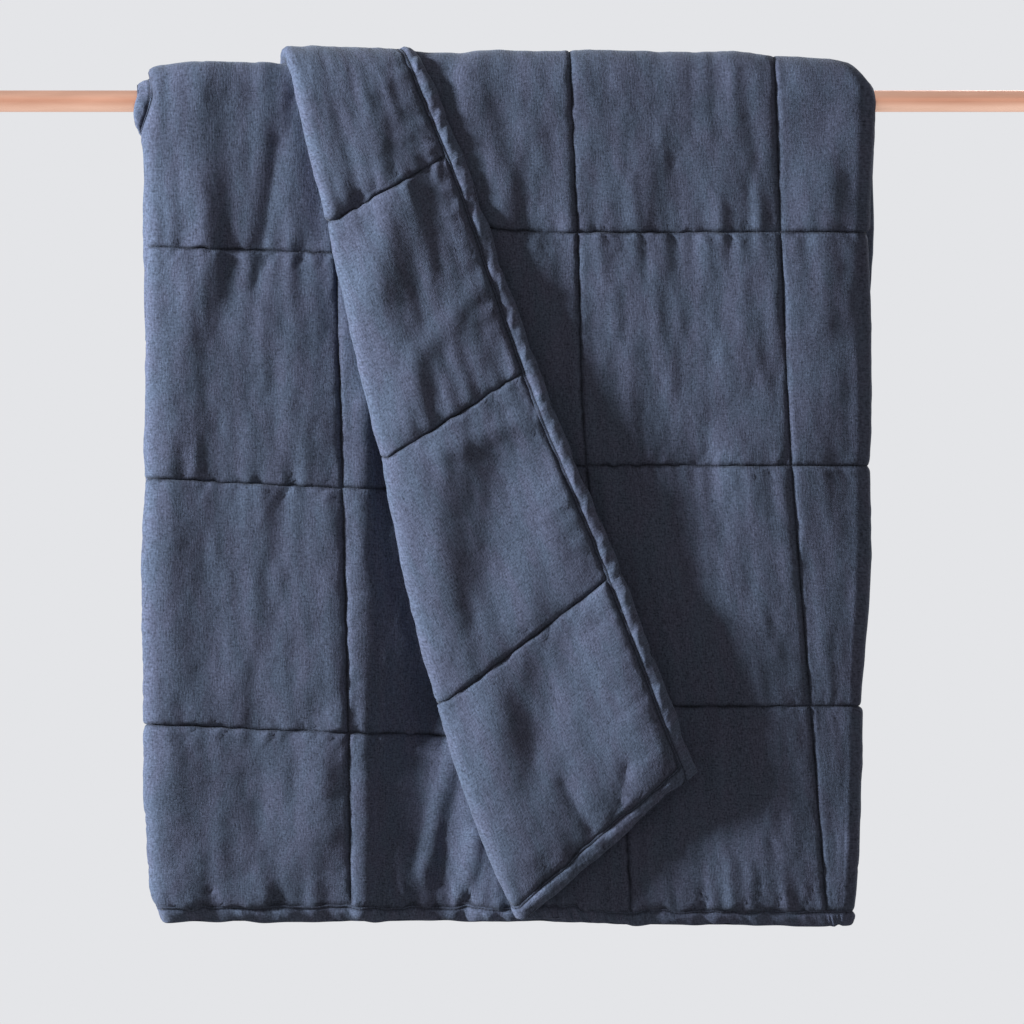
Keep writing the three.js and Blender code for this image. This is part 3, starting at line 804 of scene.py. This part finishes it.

# The bindings: four straight strips of the same linen, folded in half round the throw's raw
# edges and topstitched through. The side strips run past the hems and lap over the ends of the
# hem strips. Washing has puckered them, most along their outer halves.
#
# One side of a strip's section, from its sewn inner edge to the throw's outer edge: the distance in
# from the outer edge, the height off the cloth's middle, and how much painted shade it takes for lying
# deep in a stitched groove.
stitch_line_in, stitch_line_off = 13.7, 1.8
binding_section = [
    (16.2, 0.8, 1), (15.8, 2.3, 0.8), (14.8, 2.6, 0.3), (stitch_line_in, stitch_line_off, 1),
    (12.7, 2.8, 0.4), (11.2, 3.7, 0), (9, 4.2, 0), (6, 4.2, 0), (3.2, 3.6, 0), (1.0, 2.6, 0),
    (-0.6, 1.3, 0), (-1.1, 0, 0),
]
binding_overrun, hem_start, sections_along = 2.5, 14, 620
binding_crumple, binding_wander = 0.36, 1.5
cloth_long, cloth_wide = LAST_ROW * row_pitch, LAST_COLUMN * column_pitch


def binding_surface(at, run, lap, seed):
    """Points of a strip: at(inward, run) gives the station and row of each place on the cloth."""
    section_in, section_off, section_groove_shade = np.array(binding_section).T
    section_in = np.concatenate([section_in, section_in[-2::-1]])
    section_groove_shade = np.concatenate([section_groove_shade, section_groove_shade[-2::-1]])
    section_off = np.concatenate([section_off, -section_off[-2::-1]])
    distance, length = np.meshgrid(section_in, run)
    off = np.broadcast_to(section_off, distance.shape)
    face = np.sign(off)
    slant = length + 0.9 * face * distance
    crumple = noise(slant / 11, distance / 30 + 5 * face, seed)
    crumple += 0.6 * noise(slant / 5.5, distance / 14 + 9 * face, seed + 1)
    ends = np.minimum(length - run[0], run[-1] - length)
    off = off * (1 + binding_crumple * smooth(13.5, 9, distance) * crumple)
    off = off * (1 + lap * smooth(24, 16, ends))
    wander = binding_wander * noise(length / 22, 0 * length, seed + 2) * smooth(13, 2, distance)
    station, row = at(distance + wander, length)
    points = in_metres(place(station, row) + outward(station, row) * off[..., None])
    # The painted shade of the stitched grooves, across each strip's section.
    groove_shade_mask = np.broadcast_to(section_groove_shade, distance.shape)
    return points, np.stack([length, distance + 40 * face], -1), groove_shade_mask


def closed_strip(name, points, cloth, groove_shade_mask):
    """A strip as one closed skin: its ring of points is closed, and each end is sewn shut."""
    long, ring = points.shape[:2]
    a = (np.arange(long - 1)[:, None] * ring + np.arange(ring)).ravel()
    b = (np.arange(long - 1)[:, None] * ring + (np.arange(ring) + 1) % ring).ravel()
    faces = np.stack([a, b, b + ring, a + ring], -1).tolist()
    for end in (0, (long - 1) * ring):
        for step in range(ring // 2):
            cap = [end + step, end + step + 1, end + ring - 2 - step, end + ring - 1 - step]
            faces.append(list(dict.fromkeys(cap)))
    piece = cloth_piece(name, points, faces, cloth, groove_shade_mask)
    strip = bmesh.new()
    strip.from_mesh(piece.data)
    bmesh.ops.recalc_face_normals(strip, faces=strip.faces)
    strip.to_mesh(piece.data)
    strip.free()
    return piece


# Where each strip lies on the cloth: the station and row at a distance in from its outer edge.
def side_under(distance, length):
    row = length / row_pitch
    return distance / tuck_size(row), row


def side_flap(distance, length):
    return LAST_STATION - distance / binding_width, length / row_pitch


def hem(distance, length, last, inward):
    station = station_at(length / column_pitch)
    _, along = slopes(station, np.full_like(station, last))
    return station, last + inward * distance / np.linalg.norm(along, axis=-1)


def hem_front(distance, length):
    return hem(distance, length, 0, 1)


def hem_back(distance, length):
    return hem(distance, length, LAST_ROW, -1)


side_run = np.linspace(-binding_overrun, cloth_long + binding_overrun, sections_along)
hem_run = np.linspace(hem_start, cloth_wide - hem_start, sections_along)
bindings = {
    "side_binding_under": {"at": side_under, "run": side_run, "lap": 0.3, "seed": 41},
    "side_binding_flap": {"at": side_flap, "run": side_run, "lap": 0.3, "seed": 47},
    "hem_binding_front": {"at": hem_front, "run": hem_run, "lap": 0, "seed": 53},
    "hem_binding_back": {"at": hem_back, "run": hem_run, "lap": 0, "seed": 59},
}
# The bindings take the quilt's linen painted 1.18 times lighter: a painted highlight for the light that
# their rounded strips catch.
brightened_binding_linen = linen("binding_linen_painted_lighter", 1.18, 0.9)
for name, strip in bindings.items():
    piece = closed_strip(name + "_cloth", *binding_surface(**strip))
    piece.data.materials.append(brightened_binding_linen)
    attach(piece, "root")
    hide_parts(name)

# The stitching: navy thread in small straight stitches, along every seam on both linens, and along
# the groove of each binding on both of its sides. Each stitch is one bead of thread, and Geometry
# Nodes lays them on points that carry the way each one runs and the way it faces.
stitch_pitch, stitch_lift, stitch_margin = 4.2, 0.15, 3
stitch_sizes = {"Length": 0.0031, "Thickness": 0.0009, "Unevenness": 0.15}


def stitch_points(name, lines):
    """Points for stitches, from lines of stations, rows and heights off the cloth on one side."""
    spots, runs, faces_out = [], [], []
    for station, row, height, side in lines:
        normal = outward(station, row) * side
        points = place(station, row) + normal * (height + stitch_lift)[..., None]
        spots.append(in_metres(points))
        runs.append(np.gradient(points, axis=0))
        faces_out.append(normal)
    mesh = bpy.data.meshes.new(name)
    mesh.from_pydata(np.concatenate(spots).tolist(), [], [])
    for attribute, vectors in (("run", runs), ("face_out", faces_out)):
        made = mesh.attributes.new(attribute, "FLOAT_VECTOR", "POINT")
        made.data.foreach_set("vector", np.concatenate(vectors).ravel().astype(np.float32))
    return add_object(name, mesh)


def seam_lines(side):
    """Every row seam and column seam of one linen, from binding to binding."""
    start = binding_width + stitch_margin
    columns = np.arange(start, cloth_wide - start, stitch_pitch) / column_pitch
    rows = np.arange(start, cloth_long - start, stitch_pitch) / row_pitch
    lines = [(station_at(columns), np.full_like(columns, seam)) for seam in range(1, LAST_ROW)]
    lines += [(np.full_like(rows, station_at(seam)), rows) for seam in range(1, LAST_COLUMN)]
    return [(station, row, skin_height(station, row, side), side) for station, row in lines]


def binding_lines():
    """The groove of every binding, on both of its sides."""
    lines = []
    for strip in bindings.values():
        run = np.arange(strip["run"][0] + stitch_margin, strip["run"][-1] - stitch_margin, stitch_pitch)
        station, row = strip["at"](np.full_like(run, stitch_line_in), run)
        lines += [(station, row, np.full_like(run, stitch_line_off), side) for side in (1, -1)]
    return lines


def stitch_tree():
    """A bead of thread on every point, of about the length and thickness given."""
    tree = bpy.data.node_groups.new("stitches", "GeometryNodeTree")
    socket = tree.interface.new_socket
    socket("Points", in_out="INPUT", socket_type="NodeSocketGeometry")
    for name, value in stitch_sizes.items():
        socket(name, in_out="INPUT", socket_type="NodeSocketFloat").default_value = value
    socket("Thread", in_out="INPUT", socket_type="NodeSocketMaterial")
    socket("Stitches", in_out="OUTPUT", socket_type="NodeSocketGeometry")
    nodes, links = tree.nodes, tree.links
    given, out = nodes.new("NodeGroupInput"), nodes.new("NodeGroupOutput")

    turn = None
    for axis, attribute in (("X", "run"), ("Z", "face_out")):
        named = nodes.new("GeometryNodeInputNamedAttribute")
        named.data_type = "FLOAT_VECTOR"
        named.inputs["Name"].default_value = attribute
        align = nodes.new("FunctionNodeAlignRotationToVector")
        align.axis = axis
        align.pivot_axis = "AUTO" if turn is None else "X"
        if turn is not None:
            links.new(turn, align.inputs["Rotation"])
        links.new(named.outputs["Attribute"], align.inputs["Vector"])
        turn = align.outputs["Rotation"]

    size = nodes.new("ShaderNodeCombineXYZ")
    for axis, name in (("X", "Length"), ("Y", "Thickness"), ("Z", "Thickness")):
        links.new(given.outputs[name], size.inputs[axis])
    chance = nodes.new("FunctionNodeRandomValue")
    chance.data_type = "FLOAT"
    chance.inputs["Seed"].default_value = 5

    def number(sockets, name):
        return [found for found in sockets if found.name == name and found.type == "VALUE"][0]

    for operation, socket_name in (("SUBTRACT", "Min"), ("ADD", "Max")):
        end = nodes.new("ShaderNodeMath")
        end.operation = operation
        end.inputs[0].default_value = 1.0
        links.new(given.outputs["Unevenness"], end.inputs[1])
        links.new(end.outputs[0], number(chance.inputs, socket_name))
    uneven = nodes.new("ShaderNodeVectorMath")
    uneven.operation = "SCALE"
    links.new(size.outputs[0], uneven.inputs[0])
    links.new(number(chance.outputs, "Value"), uneven.inputs["Scale"])

    bead = nodes.new("GeometryNodeMeshIcoSphere")
    set_inputs(bead, {"Radius": 0.5, "Subdivisions": 1})
    lay = nodes.new("GeometryNodeInstanceOnPoints")
    realize, coat = nodes.new("GeometryNodeRealizeInstances"), nodes.new("GeometryNodeSetMaterial")
    links.new(given.outputs["Points"], lay.inputs["Points"])
    links.new(bead.outputs["Mesh"], lay.inputs["Instance"])
    links.new(turn, lay.inputs["Rotation"])
    links.new(uneven.outputs[0], lay.inputs["Scale"])
    links.new(lay.outputs["Instances"], realize.inputs[0])
    links.new(realize.outputs[0], coat.inputs["Geometry"])
    links.new(given.outputs["Thread"], coat.inputs["Material"])
    links.new(coat.outputs[0], out.inputs["Stitches"])
    return tree


thread = bpy.data.materials.new("navy_thread")
thread.use_nodes = True
thread_finish = {"Base Color": (0.018, 0.024, 0.046, 1), "Roughness": 0.75}
set_inputs(thread.node_tree.nodes["Principled BSDF"], thread_finish)
stitches = stitch_tree()
stitch_inputs = {**stitch_sizes, "Thread": thread}
stitch_lines = {"back_linen_stitches": seam_lines(1), "face_linen_stitches": seam_lines(-1),
                "binding_stitches": binding_lines()}
for name, lines in stitch_lines.items():
    piece = stitch_points(name, lines)
    modifier = piece.modifiers.new("stitches", "NODES")
    modifier.node_group = stitches
    for item in stitches.interface.items_tree:
        if item.in_out == "INPUT" and item.name in stitch_inputs:
            modifier[item.identifier] = stitch_inputs[item.name]
    sewn = piece.evaluated_get(bpy.context.evaluated_depsgraph_get())
    sewn_mesh = bpy.data.meshes.new_from_object(sewn)
    piece.modifiers.remove(modifier)
    piece.data = sewn_mesh
    sewn_mesh.shade_smooth()
    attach(piece, "root")

# The rod: a drawn copper tube, satin, with fine lines along its length and a few dull patches.
# It is left as built and only takes its finish.
copper = bpy.data.materials.new("drawn_copper")
copper.use_nodes = True
copper_nodes, copper_links = copper.node_tree.nodes, copper.node_tree.links
copper_surface = copper_nodes["Principled BSDF"]
set_inputs(copper_surface, {"Base Color": (0.80, 0.42, 0.30, 1), "Metallic": 1.0, "Roughness": 0.34})
copper_place = copper_nodes.new("ShaderNodeTexCoord")


def along_the_rod(lengthwise, around, detail):
    """Noise stretched along the rod."""
    stretch = copper_nodes.new("ShaderNodeMapping")
    stretch.inputs["Scale"].default_value = (lengthwise, around, around)
    copper_links.new(copper_place.outputs["Object"], stretch.inputs["Vector"])
    texture = copper_nodes.new("ShaderNodeTexNoise")
    set_inputs(texture, {"Scale": 1.0, "Detail": detail})
    copper_links.new(stretch.outputs[0], texture.inputs["Vector"])
    return texture.outputs["Fac"]


drawn_lines, dull_patches = along_the_rod(3, 900, 2), along_the_rod(9, 70, 3)
copper_tints = ((0.3, (0.72, 0.36, 0.25, 1)), (0.7, (0.86, 0.47, 0.34, 1)))
copper_dullness = {"From Min": 0.3, "From Max": 0.7, "To Min": 0.28, "To Max": 0.42}
copper_tint = copper_nodes.new("ShaderNodeValToRGB")
for stop, (position, colour) in zip(copper_tint.color_ramp.elements, copper_tints):
    stop.position = position
    stop.color = colour
copper_rough = copper_nodes.new("ShaderNodeMapRange")
set_inputs(copper_rough, copper_dullness)
copper_bump = copper_nodes.new("ShaderNodeBump")
set_inputs(copper_bump, {"Strength": 0.12, "Distance": 0.0005})
copper_links.new(dull_patches, copper_tint.inputs[0])
copper_links.new(dull_patches, copper_rough.inputs["Value"])
copper_links.new(drawn_lines, copper_bump.inputs["Height"])
copper_links.new(copper_tint.outputs["Color"], copper_surface.inputs["Base Color"])
copper_links.new(copper_rough.outputs["Result"], copper_surface.inputs["Roughness"])
copper_links.new(copper_bump.outputs[0], copper_surface.inputs["Normal"])
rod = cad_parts["rod"]
rod.data.materials.clear()
rod.data.materials.append(copper)
